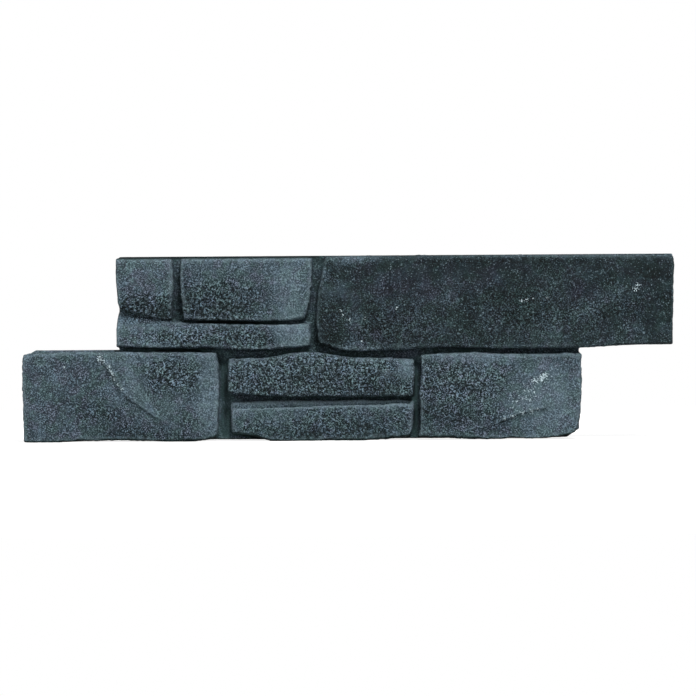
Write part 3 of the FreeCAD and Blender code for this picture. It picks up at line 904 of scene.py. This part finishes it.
class Paint:
    """A material in the making, with one method for each kind of node."""

    def __init__(self, name):
        self.material = bpy.data.materials.new(name)
        self.material.use_nodes = True
        self.nodes = self.material.node_tree.nodes
        self.links = self.material.node_tree.links
        self.nodes.clear()
        self.place = self.nodes.new("ShaderNodeTexCoord").outputs["Object"]

    def put(self, value, socket):
        """Sets a socket to a number or a colour, or links an output to it."""
        if isinstance(value, (int, float)):
            socket.default_value = value
        elif isinstance(value, tuple):
            socket.default_value = (*value, 1)
        else:
            self.links.new(value, socket)

    def noise(self, size, detail=3.0, rough=0.55, distortion=0.0):
        """Noise with bumps of a size in millimetres."""
        node = self.nodes.new("ShaderNodeTexNoise")
        node.inputs["Scale"].default_value = 1 / (size * MM)
        node.inputs["Detail"].default_value = detail
        node.inputs["Roughness"].default_value = rough
        node.inputs["Distortion"].default_value = distortion
        self.links.new(self.place, node.inputs["Vector"])
        return node.outputs["Fac"]

    def field(self, name):
        """One of the numbers that the mesh keeps for each point."""
        node = self.nodes.new("ShaderNodeAttribute")
        node.attribute_name = name
        return node.outputs["Fac"]

    def mapped(self, value, between, gives=(0.0, 1.0)):
        """A soft change from one result to another, while the value goes between two numbers."""
        node = self.nodes.new("ShaderNodeMapRange")
        node.interpolation_type = "SMOOTHSTEP"
        for name, number in zip(("From Min", "From Max", "To Min", "To Max"), (*between, *gives)):
            node.inputs[name].default_value = number
        self.links.new(value, node.inputs["Value"])
        return node.outputs["Result"]

    def maths(self, operation, first, second=0.0):
        """One sum, difference, product or absolute value."""
        node = self.nodes.new("ShaderNodeMath")
        node.operation = operation
        self.put(first, node.inputs[0])
        self.put(second, node.inputs[1])
        return node.outputs["Value"]

    def product(self, first, second):
        """Both values multiplied."""
        return self.maths("MULTIPLY", first, second)

    def blended(self, share, first, second, kind="MIX"):
        """The first colour with a share of the second, mixed in or multiplied."""
        node = self.nodes.new("ShaderNodeMix")
        node.data_type = "RGBA"
        node.blend_type = kind
        self.links.new(share, node.inputs["Factor"])
        self.put(first, node.inputs["A"])
        self.put(second, node.inputs["B"])
        return node.outputs["Result"]

    def coated(self, colour, layers):
        """The colour under a list of layers."""
        for name, between, gives, shade in layers:
            colour = self.blended(self.mapped(self.field(name), between, gives), colour, shade)
        return colour


def clouded_slate(paint):
    """Slate with lighter clouds, lighter still on smooth places and on the patches of painted light, and
    on crests that face up, as wear and painted highlight.
    """
    clouds = paint.mapped(paint.noise(LIGHT_CLOUDS, detail=4), (0.50, 0.72), (0.0, 0.6))
    colour = paint.blended(clouds, SLATE, LIGHT)
    smooth_places = paint.mapped(paint.field("pale"), (0.1, 0.9), (0.0, 0.9))
    colour = paint.blended(smooth_places, colour, LIGHT)
    spots = paint.mapped(paint.noise(CREST_SPOTS), (0.42, 0.60), (0.05, 0.5))
    return paint.blended(paint.product(paint.field("crest"), spots), colour, LIGHT)


def pigment(paint):
    """Green, purple and blue shades, to multiply a colour by."""
    shift = paint.product(paint.field("purple"), PURPLE_SHIFT)
    lean = paint.maths("ADD", paint.noise(HUE_CLOUDS), shift)
    hue = paint.blended(paint.mapped(lean, (0.46, 0.66)), GREEN_SHADE, PURPLE_SHADE)
    return paint.blended(paint.mapped(paint.noise(BLUE_CLOUDS, detail=2), (0.47, 0.60)), hue, BLUE_SHADE)


def grain(paint, finer):
    """Shares of the light rims, the light lumps and the black dots."""
    clumps = paint.mapped(paint.noise(GRAIN_CLUMPS, detail=2), (0.35, 0.65), (0.7, 1.15))
    amount = paint.product(paint.mapped(paint.field("rough"), (0.0, 1.3), (0.45, 1.6)), clumps)
    amount = paint.product(paint.mapped(paint.field("calm"), (0.0, 1.0), (1.0, 0.35)), amount)
    fine = paint.noise(RIMS, detail=0.5, rough=0.5, distortion=1.0)
    ridge = paint.maths("ABSOLUTE", paint.maths("SUBTRACT", fine, RIDGE_LEVEL))
    rims = paint.product(paint.mapped(ridge, (0.035, 0.010)), amount)
    lumps = paint.product(paint.mapped(finer, (0.56, 0.63)), amount)
    pores = paint.maths("SUBTRACT", finer, paint.product(paint.field("grime_and_shade"), GRIME_AND_SHADE_SHIFT))
    dots = paint.product(paint.mapped(pores, (0.515, 0.445)), amount)
    return rims, lumps, dots


def stained(paint, colour, finer):
    """The colour under the black stain, with a few glints in it."""
    tint = paint.blended(paint.field("purple"), GREEN_STAIN, PURPLE_STAIN)
    clouds = paint.mapped(paint.noise(STAIN_CLOUDS), (0.34, 0.66), (1.0, 0.78))
    colour = paint.blended(paint.product(paint.field("stain"), clouds), colour, tint, "MULTIPLY")
    glints = paint.product(paint.field("stain"), paint.mapped(finer, (0.72, 0.80), (0.0, 0.4)))
    return paint.blended(glints, colour, RIM)


def chipped_colour(paint, colour, finer):
    """The colour with pale chips, ragged at their edges."""
    ragged = paint.maths("ADD", paint.product(paint.field("chips"), CHIP_SHIFT), finer)
    inside = paint.mapped(paint.field("chips"), (0.05, 0.2))
    return paint.blended(paint.product(paint.mapped(ragged, (0.78, 0.88)), inside), colour, CHIP)


def concrete():
    """Blue-grey pigmented concrete, pitted, with dirt and painted shade in its joints, hollows and
    undersides, and pale where it is worn, with painted highlight on crests that face up.
    """
    paint = Paint("split_concrete")
    finer = paint.noise(PORES, detail=0.0, rough=0.5, distortion=0.6)
    rims, lumps, dots = grain(paint, finer)
    # Grime and painted shade from the mesh darken the colour, with black clots where they are strong
    grime_and_shade = paint.product(
        paint.field("grime_and_shade"), paint.mapped(paint.noise(GRIME_AND_SHADE_CLOUDS), (0.35, 0.60), (1.0, 0.6)))
    clots = paint.product(
        paint.mapped(paint.noise(CLOTS, detail=1), (0.50, 0.38)),
        paint.mapped(paint.field("grime_and_shade"), (0.6, 1.0), (0.0, 0.7)))

    colour = paint.blended(grime_and_shade, clouded_slate(paint), GRIME_AND_SHADE_UNDER_GRAIN, "MULTIPLY")
    colour = paint.blended(paint.product(lumps, LUMP_SHARE), colour, RIM)
    colour = paint.blended(paint.product(rims, RIM_SHARE), colour, RIM)
    colour = paint.blended(dots, colour, PORE_AND_SHADE_BLACK)
    colour = paint.blended(clots, colour, PORE_AND_SHADE_BLACK)
    pigmented = paint.mapped(paint.field("pale"), (0.1, 0.8), (1.0, 0.5))
    colour = paint.blended(pigmented, colour, pigment(paint), "MULTIPLY")
    cool = paint.blended(paint.field("rough"), EVEN, ROUGH_SHADE)
    shaded = paint.mapped(paint.noise(SHADE_CLOUDS), (0.45, 0.65))
    colour = paint.blended(shaded, colour, cool, "MULTIPLY")
    colour = paint.blended(grime_and_shade, colour, GRIME_AND_SHADE_OVER_GRAIN, "MULTIPLY")
    colour = paint.coated(colour, WEAR_AND_SHADE_LAYERS)
    colour = stained(paint, colour, finer)
    colour = paint.coated(colour, JOINT_LAYERS)
    colour = chipped_colour(paint, colour, finer)

    bump = paint.nodes.new("ShaderNodeBump")
    bump.inputs["Strength"].default_value = BUMP_STRENGTH
    bump.inputs["Distance"].default_value = BUMP_HEIGHT * MM
    height = paint.maths("SUBTRACT", paint.product(rims, RIM_HEIGHT_SHARE), dots)
    paint.put(paint.maths("ADD", height, lumps), bump.inputs["Height"])
    shader = paint.nodes.new("ShaderNodeBsdfPrincipled")
    shader.inputs["Specular IOR Level"].default_value = SHINE
    paint.put(colour, shader.inputs["Base Color"])
    matt = paint.mapped(paint.noise(GLOSS_CLOUDS), (0.3, 0.7), (0.72, 0.92))
    paint.put(matt, shader.inputs["Roughness"])
    paint.put(bump.outputs["Normal"], shader.inputs["Normal"])
    out = paint.nodes.new("ShaderNodeOutputMaterial")
    paint.put(shader.outputs["BSDF"], out.inputs["Surface"])
    return paint.material


def build_skin():
    """The whole tile's surface as one closed piece."""
    mesh = remeshed(frame["nodes"][NODE])
    add_fields(mesh, carve(mesh))
    skin = thinned(mesh)
    closed(skin)
    add_fields(skin, colour_fields(skin))
    skin.materials.clear()
    skin.materials.append(concrete())
    piece = bpy.data.objects.new("tile_skin", skin)
    bpy.context.scene.collection.objects.link(piece)
    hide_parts(NODE)
    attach(piece, "root")
    return piece


# Setting

# Floor and surroundings: half the floor's width in metres, its grey, and strengths of light
FLOOR_HALF_WIDTH = 1.2
FLOOR_GREY = 0.6
FLOOR_GLOW = 0.78
AMBIENT_LIGHT = 0.36
BACKDROP_LIGHT = 1.0

# Each lamp: name, place and width in metres, power in watts
LAMPS = [
    ("key", (0.3, -1.3, 1.6), 0.45, 43),
    ("fill", (-1.2, -2.4, 0.2), 1.6, 14),
]

# Camera: the photograph's scale and width, its roll in radians, the aim in metres, and the lens and
# sensor in millimetres
MILLIMETRES_PER_PIXEL = 0.8050
PHOTO_PIXELS = 696
CAMERA_ROLL = 0.0065
CAMERA_AIM = (0.0, -0.020, 0.0003)
CAMERA_LENS = 150
CAMERA_SENSOR = 36


def floor_paint():
    """Matt grey for the light that falls on it, and a pale glow of its own for the camera only."""
    material = bpy.data.materials.new("floor_paint")
    material.use_nodes = True
    nodes, links = material.node_tree.nodes, material.node_tree.links
    nodes.clear()
    out = nodes.new("ShaderNodeOutputMaterial")
    matt = nodes.new("ShaderNodeBsdfDiffuse")
    matt.inputs["Color"].default_value = (FLOOR_GREY, FLOOR_GREY, FLOOR_GREY, 1)
    glow = nodes.new("ShaderNodeEmission")
    glow.inputs["Strength"].default_value = FLOOR_GLOW
    none = nodes.new("ShaderNodeEmission")
    none.inputs["Strength"].default_value = 0.0
    seen = nodes.new("ShaderNodeLightPath").outputs["Is Camera Ray"]
    choose = nodes.new("ShaderNodeMixShader")
    both = nodes.new("ShaderNodeAddShader")
    links.new(seen, choose.inputs[0])
    links.new(none.outputs[0], choose.inputs[1])
    links.new(glow.outputs[0], choose.inputs[2])
    links.new(matt.outputs[0], both.inputs[0])
    links.new(choose.outputs[0], both.inputs[1])
    links.new(both.outputs[0], out.inputs["Surface"])
    return material


def floor():
    """A plain pale floor under the tile's lower edge."""
    ground = cad_bounds[0].z
    corners = [(x * FLOOR_HALF_WIDTH, y * FLOOR_HALF_WIDTH, ground)
               for x, y in ((-1, -1), (1, -1), (1, 1), (-1, 1))]
    mesh = bpy.data.meshes.new("floor")
    mesh.from_pydata(corners, [], [(0, 1, 2, 3)])
    mesh.materials.append(floor_paint())
    obj = bpy.data.objects.new("floor", mesh)
    bpy.context.scene.collection.objects.link(obj)


def world():
    """White to the camera, and a plain grey light on the object."""
    scene_world = bpy.data.worlds.new("studio")
    bpy.context.scene.world = scene_world
    scene_world.use_nodes = True
    nodes, links = scene_world.node_tree.nodes, scene_world.node_tree.links
    nodes.clear()
    out = nodes.new("ShaderNodeOutputWorld")
    ambient = nodes.new("ShaderNodeBackground")
    ambient.inputs["Strength"].default_value = AMBIENT_LIGHT
    backdrop = nodes.new("ShaderNodeBackground")
    backdrop.inputs["Strength"].default_value = BACKDROP_LIGHT
    for node in (ambient, backdrop):
        node.inputs["Color"].default_value = (1, 1, 1, 1)
    path = nodes.new("ShaderNodeLightPath")
    mix = nodes.new("ShaderNodeMixShader")
    links.new(path.outputs["Is Camera Ray"], mix.inputs[0])
    links.new(ambient.outputs[0], mix.inputs[1])
    links.new(backdrop.outputs[0], mix.inputs[2])
    links.new(mix.outputs[0], out.inputs["Surface"])


def lamp(name, place, width, power):
    """A square soft lamp aimed at the tile."""
    data = bpy.data.lights.new(name, "AREA")
    data.size = width
    data.energy = power
    obj = bpy.data.objects.new(name, data)
    obj.location = place
    obj.rotation_euler = (-Vector(place)).to_track_quat("-Z", "Y").to_euler()
    bpy.context.scene.collection.objects.link(obj)


def camera():
    """A long lens straight ahead of the tile, rolled as the photograph is."""
    data = bpy.data.cameras.new("camera")
    data.sensor_width = CAMERA_SENSOR
    data.lens = CAMERA_LENS
    distance = data.lens / data.sensor_width * PHOTO_PIXELS * MILLIMETRES_PER_PIXEL * MM
    obj = bpy.data.objects.new("camera", data)
    obj.location = Vector(CAMERA_AIM) + Vector((0, -distance, 0))
    obj.rotation_euler = (math.pi / 2, CAMERA_ROLL, 0)
    obj.rotation_mode = "XYZ"
    bpy.context.scene.collection.objects.link(obj)
    bpy.context.scene.camera = obj


build_skin()
floor()
world()
for name, place, width, power in LAMPS:
    lamp(name, place, width, power)
camera()
bpy.context.scene.view_settings.view_transform = "Standard"
